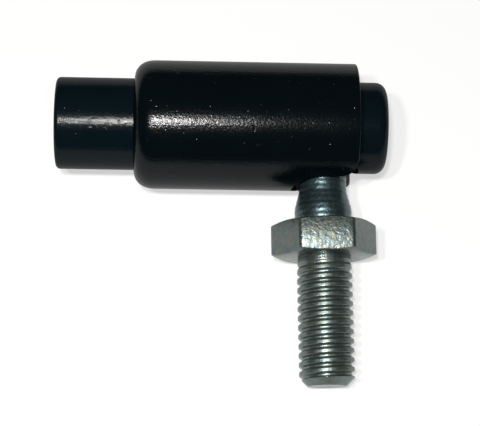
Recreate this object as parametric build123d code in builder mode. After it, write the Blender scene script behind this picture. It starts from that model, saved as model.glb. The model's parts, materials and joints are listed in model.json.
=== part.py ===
from build123d import *
from math import cos, pi, radians, sin, tan
import os

os.makedirs("parts", exist_ok=True)

# All lengths are in millimetres and all angles in degrees.
# Distances along the barrel are counted from the point where the stud's line crosses it.

# Socket body: the turned rod that carries the rod thread and the ball pocket.
body_radius = 5.0
body_back = 28.85
body_front = 6.95
back_chamfer = 0.5
front_chamfer = 0.8
thread_radius = 3.0
thread_depth = 11.0
tap_drill_radius = 2.5
tap_drill_depth = 13.5
drill_point_angle = 59.0
countersink = 0.6

# Ball pocket: a cross bore with a round bottom, opening towards the stud.
ball_radius = 4.0
ball_play = 0.05
ball_drop = 1.5
pocket_radius = ball_radius + ball_play

# Lock sleeve: slides on the body, with a rolled lip behind and a slot in front.
sleeve_radius = 7.0
sleeve_back = 20.4
sleeve_front = 3.65
sleeve_bore_radius = 5.05
lip_thickness = 1.0
lip_rounding = sleeve_radius - body_radius
chamber_radius = 6.2
chamber_front = 5.5
rim_chamfer = 0.15
slot_half_width = 3.3
slot_mouth_rounding = 2.0

# Stop ring: an open snap ring in a groove of the body, between the lip and the spring.
ring_thickness = 1.0
ring_outer_radius = 5.9
ring_inner_radius = 4.72
ring_gap = 2.4
groove_radius = 4.7
groove_play = 0.02
lip_play = 0.02

# Sleeve spring: closed and ground ends, sitting between the stop ring and the sleeve's step.
wire_radius = 0.4
wire_sides = 6
coil_radius = 5.55
closed_turns = 1.0
open_turns = 2.0
coil_play = 0.06
points_per_turn = 12
ground_depth = 0.2

# Ball stud: ball, neck, collar, hexagon and threaded shank, turned from one bar.
neck_radius = 2.6
neck_end = 5.8
collar_radius = 3.1
collar_start = 7.7
collar_flare = 0.2
hex_across_flats = 10.0
hex_near = 9.2
hex_far = 12.9
hex_chamfer_radius = 4.75
hex_outer_radius = 6.0
hex_chamfer_angle = 16.0
relief_radius = 2.65
relief_length = 1.0
root_flare = 0.45
stud_radius = 3.0
stud_tip = 26.8
tip_chamfer = 0.9

# Lying pose: the barrel rests along its sleeve and the stud droops until it touches too.
stud_droop = 8.25
stud_lean = 1.4
stud_reach = 28.3

stud_x = (body_back - body_front) / 2
barrel_y = (stud_reach - sleeve_radius) / 2
upright = Plane(origin=(stud_x, barrel_y, sleeve_radius), x_dir=(1, 0, 0), z_dir=(0, -1, 0))

# Local X runs forwards along the barrel and local Z out through the pocket.
socket = upright.rotated((stud_droop, 0, 0))
barrel_axis = Axis(socket.origin, socket.x_dir)

# Local Z runs from the ball's centre down the stud.
lean_axis = Axis((0, 0, 0), socket.y_dir)
stud = Plane(
    origin=socket.offset(ball_drop).origin,
    x_dir=socket.x_dir.rotate(lean_axis, stud_lean),
    z_dir=socket.z_dir.rotate(lean_axis, stud_lean),
)
stud_profile_plane = Plane(origin=stud.origin, x_dir=stud.z_dir, z_dir=stud.y_dir)
stud_axis = Axis(stud.origin, stud.z_dir)

lip_face = lip_thickness - sleeve_back
ring_back = lip_face + lip_play
ring_front = ring_back + ring_thickness
drill_point = tap_drill_radius / tan(radians(drill_point_angle))

with BuildPart() as socket_body:
    with BuildSketch(socket):
        with Locations((-body_back, 0)):
            Rectangle(body_back + body_front, body_radius, align=(Align.MIN, Align.MIN))
    revolve(axis=barrel_axis)
    chamfer(socket_body.edges().sort_by(Axis.X)[0], back_chamfer)
    chamfer(socket_body.edges().sort_by(Axis.X)[-1], front_chamfer)
    # Groove for the stop ring.
    with BuildSketch(socket):
        with Locations((ring_back - groove_play, groove_radius)):
            Rectangle(ring_thickness + 2 * groove_play, body_radius, align=(Align.MIN, Align.MIN))
    revolve(axis=barrel_axis, mode=Mode.SUBTRACT)
    # Rod thread, drawn at its full diameter, with countersink, tap drill run-out and drill point.
    with BuildSketch(socket):
        with BuildLine():
            Polyline(
                (-body_back, 0),
                (-body_back, thread_radius + countersink),
                (-body_back + countersink, thread_radius),
                (-body_back + thread_depth, thread_radius),
                (-body_back + thread_depth, tap_drill_radius),
                (-body_back + tap_drill_depth, tap_drill_radius),
                (-body_back + tap_drill_depth + drill_point, 0),
                close=True,
            )
        make_face()
    revolve(axis=barrel_axis, mode=Mode.SUBTRACT)
    # Ball pocket.
    with BuildSketch(socket.offset(ball_drop)):
        Circle(pocket_radius)
    extrude(amount=body_radius, mode=Mode.SUBTRACT)
    with Locations(socket.offset(ball_drop)):
        Sphere(pocket_radius, mode=Mode.SUBTRACT)

with BuildPart() as lock_sleeve:
    with BuildSketch(socket):
        with BuildLine():
            Line((-sleeve_back, sleeve_bore_radius), (lip_face, sleeve_bore_radius))
            Line((lip_face, sleeve_bore_radius), (lip_face, chamber_radius))
            Line((lip_face, chamber_radius), (-chamber_front, chamber_radius))
            Line((-chamber_front, chamber_radius), (-chamber_front, sleeve_bore_radius))
            Line((-chamber_front, sleeve_bore_radius), (sleeve_front, sleeve_bore_radius))
            Line((sleeve_front, sleeve_bore_radius), (sleeve_front, sleeve_radius - rim_chamfer))
            Line((sleeve_front, sleeve_radius - rim_chamfer), (sleeve_front - rim_chamfer, sleeve_radius))
            Line((sleeve_front - rim_chamfer, sleeve_radius), (lip_rounding - sleeve_back, sleeve_radius))
            RadiusArc(
                (lip_rounding - sleeve_back, sleeve_radius),
                (-sleeve_back, sleeve_bore_radius),
                -lip_rounding,
            )
        make_face()
    revolve(axis=barrel_axis)
    # Slot for the stud's neck, open at the front.
    with BuildSketch(socket) as slot:
        Circle(slot_half_width)
        Rectangle(sleeve_front, 2 * slot_half_width, align=(Align.MIN, Align.CENTER))
        with Locations((sleeve_front, 0)):
            Rectangle(sleeve_front, 4 * slot_half_width, align=(Align.MIN, Align.CENTER))
        mouth_corners = slot.vertices().group_by(Axis.X)[-2].sort_by_distance((0, 0))[:2]
        fillet(mouth_corners, slot_mouth_rounding)
    extrude(amount=2 * sleeve_radius, mode=Mode.SUBTRACT)

with BuildPart() as stop_ring:
    with BuildSketch(Plane(origin=socket.origin, x_dir=socket.z_dir, z_dir=socket.x_dir).offset(ring_back)):
        Circle(ring_outer_radius)
        Circle(ring_inner_radius, mode=Mode.SUBTRACT)
        Rectangle(2 * sleeve_radius, ring_gap, align=(Align.MAX, Align.CENTER), mode=Mode.SUBTRACT)
    extrude(amount=ring_thickness)

# Spring centre line: closed turns rise by one wire, open turns share the rest of the length.
spring_length = -chamber_front - ring_front
closed_pitch = 2 * wire_radius + coil_play
first_height = wire_radius - ground_depth
open_pitch = (spring_length - 2 * first_height - 2 * closed_turns * closed_pitch) / open_turns
all_turns = 2 * closed_turns + open_turns
spring_points = []
for step in range(int(all_turns * points_per_turn) + 1):
    turn = step / points_per_turn
    opened = min(max(turn - closed_turns, 0), open_turns)
    height = first_height + (turn - opened) * closed_pitch + opened * open_pitch
    angle = 2 * pi * turn
    spring_points.append((coil_radius * cos(angle), coil_radius * sin(angle), height))

spring_base = Plane(origin=socket.origin, x_dir=socket.z_dir, z_dir=socket.x_dir).offset(ring_front)
with BuildPart() as sleeve_spring:
    with BuildLine(spring_base) as coil:
        Spline(*spring_points)
    with BuildSketch(Plane(origin=coil.line @ 0, z_dir=coil.line % 0)):
        RegularPolygon(wire_radius, wire_sides)
    sweep(path=coil.line)
    # Ground ends.
    with BuildSketch(spring_base):
        Circle(sleeve_radius)
    extrude(amount=spring_length, mode=Mode.INTERSECT)

with BuildPart() as ball_stud:
    with BuildSketch(stud.offset(hex_near)):
        RegularPolygon(hex_across_flats / 2, 6, major_radius=False)
    extrude(amount=hex_far - hex_near)
    # Both faces of the hexagon are turned to a shallow cone.
    chamfer_run = hex_outer_radius - hex_chamfer_radius
    chamfer_drop = chamfer_run * tan(radians(hex_chamfer_angle))
    with BuildSketch(stud_profile_plane):
        with BuildLine():
            Polyline(
                (hex_near, 0),
                (hex_near, hex_chamfer_radius),
                (hex_near + chamfer_drop, hex_outer_radius),
                (hex_far - chamfer_drop, hex_outer_radius),
                (hex_far, hex_chamfer_radius),
                (hex_far, 0),
                close=True,
            )
        make_face()
    revolve(axis=stud_axis, mode=Mode.INTERSECT)
    # Neck and collar, and the shank drawn at the thread's full diameter.
    with BuildSketch(stud_profile_plane):
        with BuildLine():
            Polyline(
                (0, 0),
                (0, neck_radius),
                (neck_end, neck_radius),
                (collar_start, collar_radius),
                (hex_near - collar_flare, collar_radius),
                (hex_near, collar_radius + collar_flare),
                (hex_far, collar_radius + collar_flare),
                (hex_far, relief_radius + root_flare),
                (hex_far + root_flare, relief_radius),
                (hex_far + relief_length, relief_radius),
                (hex_far + relief_length, stud_radius),
                (stud_tip - tip_chamfer, stud_radius),
                (stud_tip, stud_radius - tip_chamfer),
                (stud_tip, 0),
                close=True,
            )
        make_face()
    revolve(axis=stud_axis)
    with Locations(stud):
        Sphere(ball_radius)

socket_body.part.label = "socket_body"
lock_sleeve.part.label = "lock_sleeve"
stop_ring.part.label = "stop_ring"
sleeve_spring.part.label = "sleeve_spring"
ball_stud.part.label = "ball_stud"

export_step(socket_body.part, "parts/socket_body.step")
export_step(lock_sleeve.part, "parts/lock_sleeve.step")
export_step(stop_ring.part, "parts/stop_ring.step")
export_step(sleeve_spring.part, "parts/sleeve_spring.step")
export_step(ball_stud.part, "parts/ball_stud.step")
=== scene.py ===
import json
import math

import bmesh
import bpy
import numpy as np
from mathutils import Matrix, Vector


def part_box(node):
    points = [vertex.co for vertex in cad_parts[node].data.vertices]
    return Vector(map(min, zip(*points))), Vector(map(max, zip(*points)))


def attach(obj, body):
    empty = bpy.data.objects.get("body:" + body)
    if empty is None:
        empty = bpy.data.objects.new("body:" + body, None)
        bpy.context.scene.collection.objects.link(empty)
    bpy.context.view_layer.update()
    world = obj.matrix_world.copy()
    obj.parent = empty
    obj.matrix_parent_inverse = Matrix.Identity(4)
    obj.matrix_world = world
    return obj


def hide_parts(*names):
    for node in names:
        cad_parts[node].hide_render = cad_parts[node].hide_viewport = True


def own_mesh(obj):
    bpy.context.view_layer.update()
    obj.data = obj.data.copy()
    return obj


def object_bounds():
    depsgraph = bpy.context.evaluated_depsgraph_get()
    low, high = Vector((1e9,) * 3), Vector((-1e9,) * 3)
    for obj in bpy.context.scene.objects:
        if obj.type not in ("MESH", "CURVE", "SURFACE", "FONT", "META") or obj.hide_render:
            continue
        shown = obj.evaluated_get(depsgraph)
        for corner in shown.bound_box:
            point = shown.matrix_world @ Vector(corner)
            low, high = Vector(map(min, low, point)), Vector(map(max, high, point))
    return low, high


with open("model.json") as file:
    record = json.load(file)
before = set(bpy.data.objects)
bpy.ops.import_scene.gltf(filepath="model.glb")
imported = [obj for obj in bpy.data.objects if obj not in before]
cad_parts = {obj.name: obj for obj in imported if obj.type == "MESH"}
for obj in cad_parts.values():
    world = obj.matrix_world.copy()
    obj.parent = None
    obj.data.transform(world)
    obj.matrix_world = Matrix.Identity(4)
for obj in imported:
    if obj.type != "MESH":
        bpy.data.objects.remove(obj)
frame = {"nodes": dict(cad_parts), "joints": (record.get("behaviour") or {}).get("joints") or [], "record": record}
cad_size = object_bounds()

# ---------------------------------------------------------------------------
# Socket body: a steel rod, turned round with broken ends, tapped behind for the
# rod and cross-bored in front for the ball, then finished in semi-gloss black.
# ---------------------------------------------------------------------------

mm = 0.001
full_turn = 2 * math.pi
joints = {joint["name"]: joint for joint in frame["joints"]}
mounts = {mount["name"]: mount for mount in frame["record"]["mounts"]}
ball_centre = Vector(joints["stud_spin"]["pos_m"])

body_low, body_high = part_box("socket_body")
barrel_y = (body_low.y + body_high.y) / 2
barrel_z = (body_low.z + body_high.z) / 2
barrel_line = Vector((1, 0, 0))
pocket_line = Vector((0, ball_centre.y - barrel_y, ball_centre.z - barrel_z)).normalized()

body_radius = (body_high.z - body_low.z) / 2
rear_rounding = 0.45 * mm
front_rounding = 1.15 * mm
ring_low, ring_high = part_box("stop_ring")
groove_radius = 4.7 * mm
groove_play = 0.02 * mm
pocket_radius = 4.05 * mm
bore_radius = mounts["rod_thread"]["dims"]["r_mm"] * mm
bore_length = mounts["rod_thread"]["dims"]["length_mm"] * mm
bore_start = mounts["rod_thread"]["pos_m"][0]
bore_end = bore_start + bore_length
mouth_bevel = bore_start - body_low.x
pitch = 1.0 * mm
bore_thread_depth = 0.52 * mm
bore_lead_in = 0.8 * pitch
bore_rows_per_turn = 14
drill_radius = 2.5 * mm
drill_run = 2.5 * mm
drill_point = 1.5 * mm
around = np.linspace(0, full_turn, 144, endpoint=False)


def stand(name, mesh):
    """Puts a mesh in the scene as a piece."""
    piece = bpy.data.objects.new(name, mesh)
    bpy.context.scene.collection.objects.link(piece)
    return piece


def skin(rows, count):
    """Faces between neighbouring rows of points, where each row closes on itself."""
    faces = []
    for row in range(rows - 1):
        here = row * count
        above = here + count
        for step in range(count):
            after = (step + 1) % count
            faces.append((here + step, here + after, above + after, above + step))
    return faces


def lathe(name, rings, origin, along, across, angles):
    """Closed piece from rings of (distance, radius); either may be an array over the angles."""
    side = along.cross(across).normalized()
    spokes = np.outer(np.cos(angles), across) + np.outer(np.sin(angles), side)
    points = []
    for distance, radius in rings:
        travel = np.broadcast_to(distance, angles.shape)[:, None]
        reach = np.broadcast_to(radius, angles.shape)[:, None]
        points.append(np.array(origin) + travel * np.array(along) + reach * spokes)
    mesh = bpy.data.meshes.new(name)
    mesh.from_pydata(np.concatenate(points).tolist(), [], skin(len(rings), len(angles)))
    weld_distance = 0.0001 * mm
    shell = bmesh.new()
    shell.from_mesh(mesh)
    bmesh.ops.remove_doubles(shell, verts=shell.verts, dist=weld_distance)
    bmesh.ops.holes_fill(shell, edges=shell.edges, sides=0)
    bmesh.ops.recalc_face_normals(shell, faces=shell.faces)
    shell.to_mesh(mesh)
    shell.free()
    return stand(name, mesh)


def rounded(corner, before, after, radius):
    """Points of the arc that rounds a profile's corner between its two neighbours."""
    steps = 6
    corner, before, after = Vector(corner), Vector(before), Vector(after)
    back = (before - corner).normalized()
    on = (after - corner).normalized()
    half = back.angle(on) / 2
    centre = corner + (back + on).normalized() * radius / math.sin(half)
    start = corner + back * radius / math.tan(half) - centre
    sweep = (2 * half - math.pi) * math.copysign(1, back.x * on.y - back.y * on.x)
    points = []
    for step in range(steps + 1):
        angle = sweep * step / steps
        points.append((
            centre.x + start.x * math.cos(angle) - start.y * math.sin(angle),
            centre.y + start.x * math.sin(angle) + start.y * math.cos(angle),
        ))
    return points


def profile(corners):
    """Profile points from corners of (distance, radius, rounding)."""
    points = []
    for place, (distance, radius, rounding) in enumerate(corners):
        if rounding:
            before = corners[place - 1][:2]
            after = corners[place + 1][:2]
            points += rounded((distance, radius), before, after, rounding)
        else:
            points.append((distance, radius))
    return points


def thread_ridge(turns):
    """Height of a V thread with rounded edges after a number of turns: 0 in its root, 1 on its crest."""
    crest_land = 0.30
    root_land = 0.12
    from_crest = np.abs(turns - np.round(turns)) * 2
    flank = np.clip((from_crest - crest_land) / (1 - crest_land - root_land), 0, 1)
    return 1 - flank ** 2 * (3 - 2 * flank)


def cut(piece, cutter):
    """Takes the cutter out of a piece and drops the cutter."""
    step = piece.modifiers.new("cut", "BOOLEAN")
    step.object = cutter
    step.operation = "DIFFERENCE"
    step.solver = "EXACT"
    bpy.context.view_layer.update()
    shown = piece.evaluated_get(bpy.context.evaluated_depsgraph_get())
    mesh = bpy.data.meshes.new_from_object(shown)
    piece.modifiers.clear()
    piece.data = mesh
    bpy.data.objects.remove(cutter)


def smooth(piece, sharp_degrees=35):
    """Smooth shading, with edges sharper than the angle kept crisp."""
    piece.data.polygons.foreach_set("use_smooth", [True] * len(piece.data.polygons))
    piece.data.set_sharp_from_angle(angle=math.radians(sharp_degrees))


outside = profile([
    (body_low.x, bore_radius + mouth_bevel, 0),
    (body_low.x, body_radius, rear_rounding),
    (ring_low.x - groove_play, body_radius, 0),
    (ring_low.x - groove_play, groove_radius, 0),
    (ring_high.x + groove_play, groove_radius, 0),
    (ring_high.x + groove_play, body_radius, 0),
    (body_high.x, body_radius, front_rounding),
    (body_high.x, 0, 0),
])
bore = []
bore_rows = int(bore_length / pitch * bore_rows_per_turn)
for row in range(bore_rows + 1):
    distance = bore_length * row / bore_rows
    ridge = thread_ridge(distance / pitch - around / full_turn)
    grown = min(1, distance / bore_lead_in)
    bore.append((bore_start + distance, bore_radius - bore_thread_depth * grown * ridge))
drilled = [
    (bore_end, drill_radius),
    (bore_end + drill_run, drill_radius),
    (bore_end + drill_run + drill_point, 0),
]
inward = bore + drilled
socket_body = lathe(
    "socket_body_turned", inward[::-1] + outside,
    (0, barrel_y, barrel_z), barrel_line, pocket_line, around,
)
pocket_dome = [
    (-pocket_radius * math.cos(angle), pocket_radius * math.sin(angle))
    for angle in np.linspace(0, math.pi / 2, 24)
]
pocket = lathe(
    "pocket", pocket_dome + [(body_radius, pocket_radius), (body_radius, 0)],
    ball_centre, pocket_line, barrel_line, around,
)
cut(socket_body, pocket)
smooth(socket_body)


class Term:
    """A socket in an expression: the operators add maths nodes to its finish."""

    def __init__(self, finish, socket):
        self.finish = finish
        self.socket = socket

    def maths(self, operation, first, second):
        """A Vector Math node where either side is a vector, and a Math node elsewhere."""
        vectors = [
            isinstance(side, tuple) or (isinstance(side, Term) and side.socket.type == "VECTOR")
            for side in (first, second)
        ]
        kind = "ShaderNodeVectorMath" if any(vectors) else "ShaderNodeMath"
        return self.finish.add(kind, {"operation": operation}, {0: first, 1: second})

    def __add__(self, other):
        return self.maths("ADD", self, other)

    def __radd__(self, other):
        return self.maths("ADD", other, self)

    def __sub__(self, other):
        return self.maths("SUBTRACT", self, other)

    def __rsub__(self, other):
        return self.maths("SUBTRACT", other, self)

    def __mul__(self, other):
        return self.maths("MULTIPLY", self, other)

    def __rmul__(self, other):
        return self.maths("MULTIPLY", other, self)

    def under(self, limit):
        """1 where the value is under the limit, and 0 elsewhere."""
        return self.maths("LESS_THAN", self, limit)

    def clip(self):
        """The value kept between 0 and 1."""
        return self.finish.add("ShaderNodeClamp", {}, {"Value": self})


class Finish:
    """One surface finish: a material whose nodes are added one call at a time."""

    def __init__(self, name):
        self.material = bpy.data.materials.new(name)
        self.material.use_nodes = True
        self.nodes = self.material.node_tree.nodes
        self.links = self.material.node_tree.links
        self.shader = self.nodes["Principled BSDF"]
        self.gloss = Term(self, self.shader.outputs["BSDF"])

    def add(self, kind, settings, inputs, output=0):
        """Adds a node: its settings first, then a value or a link for each named or numbered socket."""
        node = self.nodes.new(kind)
        for key, value in settings.items():
            if key == "stops":
                self.set_stops(node.color_ramp, value)
            else:
                setattr(node, key, value)
        for key, value in inputs.items():
            self.feed(node.inputs[key], value)
        return Term(self, node.outputs[output])

    def set_stops(self, ramp, stops):
        """Gives a ramp its stops of (value, grey)."""
        while len(ramp.elements) < len(stops):
            ramp.elements.new(1)
        for element, (place, grey) in zip(ramp.elements, stops):
            element.position = place
            element.color = (grey, grey, grey, 1)

    def feed(self, socket, value):
        """Links a term to a socket, or sets the socket's own value."""
        if isinstance(value, Term):
            self.links.new(value.socket, socket)
        elif isinstance(value, tuple) and socket.type == "RGBA":
            socket.default_value = (*value, 1)
        else:
            socket.default_value = value

    def place(self):
        """Where a point is on the piece, in millimetres."""
        here = self.add("ShaderNodeTexCoord", {}, {}, "Object")
        return self.add("ShaderNodeVectorMath", {"operation": "SCALE"}, {0: here, "Scale": 1 / mm})

    def noise(self, scale, detail=2, roughness=0.5, at=None):
        """Noise with a number of blobs per millimetre."""
        inputs = {"Vector": at or self.place(), "Scale": scale, "Detail": detail, "Roughness": roughness}
        return self.add("ShaderNodeTexNoise", {}, inputs)

    def ramp(self, value, *stops):
        """A grey from 0 to 1 that follows stops of (value, grey)."""
        return self.add("ShaderNodeValToRGB", {"stops": stops}, {"Fac": value})

    def mix(self, share, first, second):
        """A share of the second colour over the first."""
        return self.add("ShaderNodeMix", {"data_type": "RGBA"}, {"Factor": share, 6: first, 7: second}, 2)

    def bump(self, height, depth):
        """Relief of a depth in millimetres."""
        return self.add("ShaderNodeBump", {}, {"Height": height, "Distance": depth * mm})

    def blend(self, share, first, second):
        """A share of the second shader over the first."""
        return self.add("ShaderNodeMixShader", {}, {0: share, 1: first, 2: second})

    def surface(self, **sockets):
        """Feeds the material's own shader."""
        for name, value in sockets.items():
            self.feed(self.shader.inputs[name.replace("_", " ").title().replace("Ior", "IOR")], value)

    def show(self, shader):
        """Puts another shader in the place of the material's own."""
        self.links.new(shader.socket, self.nodes["Material Output"].inputs["Surface"])


def wear(piece, finish):
    """Gives a piece its finish."""
    piece.data.materials.clear()
    piece.data.materials.append(finish.material)


def black_coating(name, dark, light, least_roughness, sheen, grain_depth, seed):
    """Semi-gloss black over a drawn surface: fine grain, drawing lines along the barrel, pits and dust."""
    coating = Finish(name)
    at = coating.place() + (seed, 0, 0)
    grain = coating.noise(4.2, 2, 0.6, at)
    lines = coating.noise(1.0, 3, 0.6, at * (0.08, 2.6, 2.6))
    patches = coating.noise(0.3, 2, 0.5, at)
    pits = coating.ramp(coating.noise(1.6, 1, 0.5, at), (0.70, 0), (0.76, 1))
    speck = coating.add("ShaderNodeTexVoronoi", {}, {"Vector": at, "Scale": 0.55}, "Distance")
    dust = speck.under(0.030)
    colour = coating.mix(dust, coating.mix(patches, dark, light), (0.04, 0.04, 0.045))
    coating.surface(
        base_color=colour,
        roughness=least_roughness + grain * 0.10 + patches * 0.05 + dust * 0.2,
        normal=coating.bump(grain + lines * 0.5 - pits, grain_depth),
    )
    dull = coating.add(
        "ShaderNodeBsdfPrincipled", {},
        {"Base Color": colour, "Roughness": 0.6, "Specular IOR Level": 0},
    )
    coating.show(coating.blend(sheen, dull, coating.gloss))
    return coating


body_coating = black_coating(
    "black_body_coating",
    dark=(0.0014, 0.0048, 0.0070), light=(0.0024, 0.0066, 0.0090),
    least_roughness=0.11, sheen=0.22, grain_depth=0.017, seed=0,
)
wear(socket_body, body_coating)
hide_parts("socket_body")
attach(socket_body, "socket")

# ---------------------------------------------------------------------------
# Lock sleeve: a steel tube whose rear end is rolled in to a lip, with a slot
# milled in front for the stud's neck. It has the body's black finish.
# ---------------------------------------------------------------------------

sleeve_low, sleeve_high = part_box("lock_sleeve")
spring_low, spring_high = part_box("sleeve_spring")
sleeve_radius = (sleeve_high.z - sleeve_low.z) / 2
guide_radius = 5.05 * mm
chamber_radius = 6.2 * mm
lip_thickness = 1.0 * mm
lip_rounding = 2.0 * mm
roll_length = 2.4 * mm
roll_fullness = 0.86
rim_rounding = 0.18 * mm
slot_half_width = 3.3 * mm
slot_mouth_rounding = 2.0 * mm
cutter_inner = 2 * mm
cutter_outer = 9 * mm
cutter_overrun = 4 * mm

roll = [
    (
        sleeve_low.x + roll_length * (1 - math.sin(angle) ** roll_fullness),
        sleeve_radius - lip_rounding * (1 - math.cos(angle) ** roll_fullness),
    )
    for angle in np.linspace(0, math.pi / 2, 28)
]
front_rim = profile([
    (spring_high.x, guide_radius, 0),
    (sleeve_high.x, guide_radius, rim_rounding),
    (sleeve_high.x, sleeve_radius, rim_rounding),
    (sleeve_low.x + roll_length, sleeve_radius, 0),
])
lip_corner = (sleeve_low.x, guide_radius)
chamber = [
    (sleeve_low.x + lip_thickness, guide_radius),
    (sleeve_low.x + lip_thickness, chamber_radius),
    (spring_high.x, chamber_radius),
]
lock_sleeve = lathe(
    "lock_sleeve_turned", [lip_corner] + chamber + front_rim[:-1] + roll + [lip_corner],
    (0, barrel_y, barrel_z), barrel_line, pocket_line, around,
)


def slot_outline():
    """Outline of the slot as (distance, width), with distances counted forwards from the stud."""
    front = sleeve_high.x - ball_centre.x
    half = [
        (slot_half_width * math.cos(angle), slot_half_width * math.sin(angle))
        for angle in np.linspace(math.pi, math.pi / 2, 24)
    ]
    half += [
        (
            front - slot_mouth_rounding * (1 - math.sin(angle)),
            slot_half_width + slot_mouth_rounding * (1 - math.cos(angle)),
        )
        for angle in np.linspace(0, math.pi / 2, 10)
    ]
    half.append((front + cutter_overrun, slot_half_width + slot_mouth_rounding))
    other_half = [(distance, -width) for distance, width in reversed(half[1:])]
    return half + other_half


def prism(name, outline, origin, along, upward, low, high):
    """A straight-sided cutter over an outline, between two heights."""
    across = upward.cross(along).normalized()
    shell = bmesh.new()
    foot = [
        shell.verts.new(origin + along * distance + across * width + upward * low)
        for distance, width in outline
    ]
    grown = bmesh.ops.extrude_face_region(shell, geom=[shell.faces.new(foot)])
    moved = [item for item in grown["geom"] if isinstance(item, bmesh.types.BMVert)]
    bmesh.ops.translate(shell, verts=moved, vec=upward * (high - low))
    bmesh.ops.recalc_face_normals(shell, faces=shell.faces)
    mesh = bpy.data.meshes.new(name)
    shell.to_mesh(mesh)
    shell.free()
    return stand(name, mesh)


slot_cutter = prism(
    "slot", slot_outline(), Vector((ball_centre.x, barrel_y, barrel_z)),
    barrel_line, pocket_line, cutter_inner, cutter_outer,
)
cut(lock_sleeve, slot_cutter)
smooth(lock_sleeve)
sleeve_coating = black_coating(
    "black_sleeve_coating",
    dark=(0.0008, 0.0024, 0.0034), light=(0.0014, 0.0036, 0.0048),
    least_roughness=0.09, sheen=0.36, grain_depth=0.020, seed=17,
)
wear(lock_sleeve, sleeve_coating)
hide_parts("lock_sleeve")
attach(lock_sleeve, "sleeve")

# ---------------------------------------------------------------------------
# Stop ring: an open ring of spring steel, sprung into the body's groove. It is
# hidden under the sleeve and keeps a bare, oiled drawn-steel surface.
# ---------------------------------------------------------------------------

drawn_steel = Finish("drawn_spring_steel")
streaks = drawn_steel.noise(3.0, 3)
drawn_steel.surface(
    base_color=drawn_steel.mix(streaks, (0.20, 0.19, 0.18), (0.36, 0.34, 0.32)),
    metallic=1.0,
    roughness=0.32 + streaks * 0.2,
    normal=drawn_steel.bump(streaks, 0.01),
)
stop_ring = frame["nodes"]["stop_ring"]
wear(stop_ring, drawn_steel)
smooth(stop_ring)

# ---------------------------------------------------------------------------
# Sleeve spring: round spring-steel wire, coiled with closed and ground ends. It
# stands between the stop ring and the sleeve's step; the real spring shortens as they close, but this mesh keeps
# one length.
# ---------------------------------------------------------------------------

wire_radius = 0.4 * mm
wire_steps = 20
coil_radius = 5.55 * mm
coil_steps_per_turn = 72
coil_play = 0.06 * mm
ground_height = 0.2 * mm
closed_turns = 1.0
open_turns = 2.0
spring_length = spring_high.x - spring_low.x
closed_pitch = 2 * wire_radius + coil_play
open_pitch = (spring_length - 2 * ground_height - 2 * closed_turns * closed_pitch) / open_turns
all_turns = 2 * closed_turns + open_turns

turns = np.arange(int(all_turns * coil_steps_per_turn) + 1)[:, None] / coil_steps_per_turn
opened = np.clip(turns - closed_turns, 0, open_turns)
coil_x = spring_low.x + ground_height + (turns - opened) * closed_pitch + opened * open_pitch
wire_angle = np.linspace(0, full_turn, wire_steps, endpoint=False)[None, :]
reach = coil_radius + wire_radius * np.cos(wire_angle)
spring_points = np.stack([
    np.clip(coil_x + wire_radius * np.sin(wire_angle), spring_low.x, spring_high.x),
    barrel_y + reach * np.cos(full_turn * turns),
    barrel_z + reach * np.sin(full_turn * turns),
], axis=-1).reshape(-1, 3)
first_end = tuple(reversed(range(wire_steps)))
last_end = tuple(range((len(turns) - 1) * wire_steps, len(turns) * wire_steps))
spring_faces = skin(len(turns), wire_steps) + [first_end, last_end]
spring_mesh = bpy.data.meshes.new("sleeve_spring_wire")
spring_mesh.from_pydata(spring_points.tolist(), [], spring_faces)
sleeve_spring = stand("sleeve_spring_wire", spring_mesh)
smooth(sleeve_spring)
wear(sleeve_spring, drawn_steel)
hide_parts("sleeve_spring")
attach(sleeve_spring, "socket")
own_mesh(sleeve_spring)

# ---------------------------------------------------------------------------
# Ball stud: ball, neck, collar and hexagon turned from one steel bar, with an
# M6 thread rolled on the shank. It is bright zinc plated all over, and the
# sleeve keeps its ball in the body's pocket.
# ---------------------------------------------------------------------------

stud_line = Vector(joints["stud_spin"]["axis"]).normalized()
across_stud = (barrel_line - stud_line * barrel_line.dot(stud_line)).normalized()
hex_far = (Vector(mounts["stud_shoulder"]["pos_m"]) - ball_centre).dot(stud_line)
hex_near = hex_far - 3.7 * mm
hex_half = 5.0 * mm
hex_corner_rounding = 0.55 * mm
hex_cone_radius = 4.75 * mm
hex_cone_slope = math.tan(math.radians(16))
hex_edge_rounding = 0.10 * mm
ball_radius = 4.0 * mm
neck_radius = 2.6 * mm
neck_start = math.sqrt(ball_radius ** 2 - neck_radius ** 2)
neck_end = 5.8 * mm
neck_rounding = 2.4 * mm
neck_rows = 80
collar_radius = 3.1 * mm
collar_start = 7.7 * mm
collar_flare = 0.2 * mm
collar_end = hex_near - collar_flare
feed_mark_length = 0.62 * mm
feed_mark_depth = 0.022 * mm
shank_radius = mounts["stud_thread"]["dims"]["r_mm"] * mm
shank_start = (Vector(mounts["stud_thread"]["pos_m"]) - ball_centre).dot(stud_line)
shank_end = shank_start + mounts["stud_thread"]["dims"]["length_mm"] * mm
crest_radius = shank_radius - 0.01 * mm
stud_thread_depth = 0.33 * mm
first_thread_depth = 0.06
run_out = 2.2 * mm
run_out_radius = 2.86 * mm
stud_rows_per_turn = 26
stud_tip = shank_end + 0.9 * mm
tip_dish_depth = 0.05 * mm
tip_dish_rim = 1.4 * mm
tip_dish_floor = 0.8 * mm

# The columns crowd at the hexagon's corners.
corner_columns = [
    math.radians(60 * corner + offset)
    for corner in range(6)
    for offset in (-2.0, -1.2, -0.8, -0.4, 0.4, 0.8, 1.2, 2.0)
]
even_columns = np.linspace(0, full_turn, 120, endpoint=False)
stud_around = np.sort(np.concatenate([even_columns, corner_columns]) % full_turn)

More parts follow.
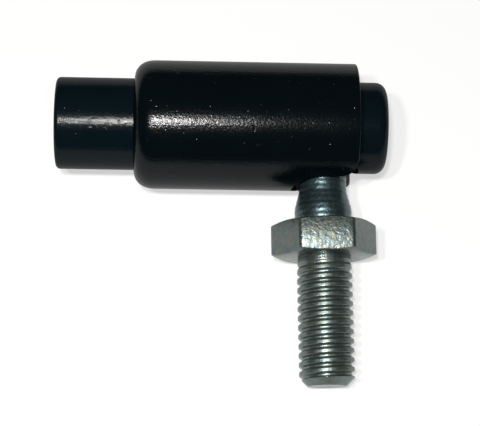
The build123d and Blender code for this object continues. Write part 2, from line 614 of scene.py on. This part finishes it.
# The hexagon's outline is its flats, with a small arc at each corner.
from_corner = (stud_around + math.pi / 6) % (math.pi / 3) - math.pi / 6
flat_reach = hex_half / np.cos(math.pi / 6 - np.abs(from_corner))
arc_centre = (hex_half - hex_corner_rounding) / math.cos(math.pi / 6)
arc_height = np.sqrt(np.clip(hex_corner_rounding ** 2 - (arc_centre * np.sin(from_corner)) ** 2, 0, None))
arc_reach = arc_centre * np.cos(from_corner) + arc_height
arc_limit = math.atan2(
    hex_corner_rounding * math.sin(math.pi / 6),
    arc_centre + hex_corner_rounding * math.cos(math.pi / 6),
)
hex_reach = np.where(np.abs(from_corner) < arc_limit, arc_reach, flat_reach)
cone_drop = (hex_reach - hex_cone_radius) * hex_cone_slope

stud_rings = [
    (-ball_radius * math.cos(angle), ball_radius * math.sin(angle))
    for angle in np.linspace(0, math.pi - math.asin(neck_radius / ball_radius), 40)
]
neck_profile = profile([
    (neck_start, neck_radius, 0),
    (neck_end, neck_radius, neck_rounding),
    (collar_start, collar_radius, neck_rounding),
    (collar_end, collar_radius, 0),
])
for row in range(1, neck_rows + 1):
    distance = neck_start + (collar_end - neck_start) * row / neck_rows
    feed_mark = feed_mark_depth * math.sin(math.pi * distance / feed_mark_length) ** 2
    stud_rings.append((distance, np.interp(distance, *zip(*neck_profile)) - feed_mark))
stud_rings += [
    (hex_near, collar_radius + collar_flare),
    (hex_near, hex_cone_radius),
    (hex_near + cone_drop - hex_edge_rounding * hex_cone_slope, hex_reach - hex_edge_rounding),
    (hex_near + cone_drop + hex_edge_rounding / 4, hex_reach - hex_edge_rounding / 4),
    (hex_near + cone_drop + hex_edge_rounding, hex_reach),
    (hex_far - cone_drop - hex_edge_rounding, hex_reach),
    (hex_far - cone_drop - hex_edge_rounding / 4, hex_reach - hex_edge_rounding / 4),
    (hex_far - cone_drop + hex_edge_rounding * hex_cone_slope, hex_reach - hex_edge_rounding),
    (hex_far, hex_cone_radius),
]
stud_rows = int((stud_tip - hex_far) / pitch * stud_rows_per_turn)
for row in range(stud_rows + 1):
    distance = hex_far + (stud_tip - hex_far) * row / stud_rows
    ridge = thread_ridge(distance / pitch - stud_around / full_turn)
    grown = min(1, (distance - hex_far) / run_out)
    depth = stud_thread_depth * (first_thread_depth + (1 - first_thread_depth) * grown ** 1.5)
    crest = run_out_radius + (crest_radius - run_out_radius) * grown
    tip_cone = crest_radius - max(0, distance - shank_end)
    stud_rings.append((distance, np.minimum(crest - depth * (1 - ridge), tip_cone)))
stud_rings += [
    (stud_tip, tip_dish_rim),
    (stud_tip - tip_dish_depth, tip_dish_floor),
    (stud_tip - tip_dish_depth, 0),
]
ball_stud = lathe("ball_stud_turned", stud_rings, ball_centre, stud_line, across_stud, stud_around)
smooth(ball_stud, sharp_degrees=28)

zinc = Finish("bright_zinc")
down_stud = zinc.add(
    "ShaderNodeVectorMath", {"operation": "DOT_PRODUCT"}, {0: zinc.place(), 1: tuple(stud_line)}, "Value",
)
from_ball = down_stud - ball_centre.dot(stud_line) / mm
# Painted shade: from the hexagon up to the ball the zinc is painted darker and bluer, standing for the shade that
# the sleeve casts on the neck.
neck_painted_shade = ((hex_near / mm - from_ball) * 2).clip()
on_shank = (from_ball - hex_far / mm).clip()
cloud = zinc.ramp(zinc.noise(0.7, 3), (0.35, 0), (0.65, 1))
tarnish = zinc.ramp(zinc.noise(1.6, 2), (0.40, 0), (0.62, 1))
flake = zinc.add(
    "ShaderNodeTexVoronoi", {"feature": "SMOOTH_F1"},
    {"Vector": zinc.place() + zinc.noise(2.0, 2) * 0.6, "Scale": 2.4, "Smoothness": 0.6}, "Distance",
)
crystal = zinc.noise(3.2, 3, 0.65) * 0.5 + flake
clouded = zinc.mix(cloud, (0.080, 0.120, 0.134), (0.115, 0.146, 0.146))
tarnished = zinc.mix(tarnish, clouded, (0.138, 0.148, 0.122))
# Painted light: the shank's zinc is painted lighter, which brightens the streak down it and its grooves.
shank_painted_light = zinc.mix(on_shank * 0.35, tarnished, (0.160, 0.210, 0.195))
# The base colour carries painted light on the shank and painted shade on the neck and ball.
zinc.surface(
    base_color=zinc.mix(neck_painted_shade * 0.7, shank_painted_light, (0.042, 0.082, 0.098)),
    metallic=0.88 - on_shank * 0.04,
    roughness=0.29 + flake * 0.18,
    specular_ior_level=0.3,
    specular_tint=(0.50, 0.55, 0.54),
    coat_weight=0.55,
    coat_roughness=0.20,
    coat_ior=1.38,
    normal=zinc.bump(crystal * (1 - on_shank * 0.4), 0.030),
)
wear(ball_stud, zinc)
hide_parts("ball_stud")
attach(ball_stud, "stud")

# ---------------------------------------------------------------------------
# Floor: the plain pale surface that the joint lies on. It shows as white to the
# camera and in reflections, and keeps the joint's shadow.
# ---------------------------------------------------------------------------

floor_half = 1.5
floor_glow = 0.6
floor_mesh = bpy.data.meshes.new("floor")
floor_corners = [
    (-floor_half, -floor_half, 0),
    (floor_half, -floor_half, 0),
    (floor_half, floor_half, 0),
    (-floor_half, floor_half, 0),
]
floor_mesh.from_pydata(floor_corners, [], [(0, 1, 2, 3)])
floor = stand("floor", floor_mesh)
floor.location.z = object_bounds()[0][2]
pale = Finish("pale_floor")
pale.surface(base_color=(0.93, 0.93, 0.93), roughness=0.9, specular_ior_level=0.1)
seen = pale.add("ShaderNodeLightPath", {}, {}, "Is Camera Ray")
for ray in ("Is Glossy Ray", "Is Transmission Ray"):
    seen = seen + pale.add("ShaderNodeLightPath", {}, {}, ray)
white = pale.add("ShaderNodeEmission", {}, {"Color": (1, 1, 1), "Strength": 1})
pale.show(pale.blend(seen.clip() * floor_glow, pale.gloss, white))
wear(floor, pale)

# ---------------------------------------------------------------------------
# Light: three small softboxes in a row high above the stud, which draw a streak
# along the barrel and another down the shank, in a dim pale room.
# ---------------------------------------------------------------------------

room = bpy.data.worlds.new("studio")
room.use_nodes = True
room.node_tree.nodes["Background"].inputs["Color"].default_value = (0.8, 0.8, 0.8, 1)
room.node_tree.nodes["Background"].inputs["Strength"].default_value = 0.05
bpy.context.scene.world = room

lamp_y = -62 * mm
lamp_height = 260 * mm
lamp_width = 18 * mm
lamp_colour = (1.0, 0.99, 0.96)
joint_middle = (Vector(cad_size[0]) + Vector(cad_size[1])) / 2


def lamp(name, along, length, power):
    """A rectangular softbox, a way along the barrel from the joint's middle and aimed at it."""
    light = bpy.data.lights.new(name, "AREA")
    light.shape = "RECTANGLE"
    light.size = length
    light.size_y = lamp_width
    light.energy = power
    light.color = lamp_colour
    offset = Vector((along, lamp_y, lamp_height))
    rig = bpy.data.objects.new(name, light)
    rig.location = joint_middle + offset
    rig.rotation_euler = (-offset).to_track_quat("-Z", "Y").to_euler()
    bpy.context.scene.collection.objects.link(rig)


lamp("left", -64 * mm, 11 * mm, 0.32)
lamp("middle", -24 * mm, 14 * mm, 0.46)
lamp("right", -6 * mm, 36 * mm, 0.11)

# ---------------------------------------------------------------------------
# Camera: a long lens that looks down on the joint as it lies, from the stud's
# side, and is tipped a little to the right.
# ---------------------------------------------------------------------------

azimuth = math.radians(5.8)
elevation = math.radians(70.5)
roll_angle = math.radians(6.4)
camera_distance = 179 * mm
lens_length = 125.2
sensor_width = 36
target = Vector((2.1 * mm, barrel_y - 10.06 * mm, barrel_z))
view_line = Vector((
    math.sin(azimuth) * math.cos(elevation),
    math.cos(azimuth) * math.cos(elevation),
    -math.sin(elevation),
))
level = view_line.cross(Vector((0, 0, 1))).normalized()
upright = level.cross(view_line)
right = level * math.cos(roll_angle) + upright * math.sin(roll_angle)
top = upright * math.cos(roll_angle) - level * math.sin(roll_angle)
camera_place = target - view_line * camera_distance
camera_data = bpy.data.cameras.new("camera")
camera_data.lens = lens_length
camera_data.sensor_width = sensor_width
camera = bpy.data.objects.new("camera", camera_data)
camera.matrix_world = Matrix((
    (right.x, top.x, -view_line.x, camera_place.x),
    (right.y, top.y, -view_line.y, camera_place.y),
    (right.z, top.z, -view_line.z, camera_place.z),
    (0, 0, 0, 1),
))
bpy.context.scene.collection.objects.link(camera)
bpy.context.scene.camera = camera
bpy.context.scene.view_settings.view_transform = "Standard"
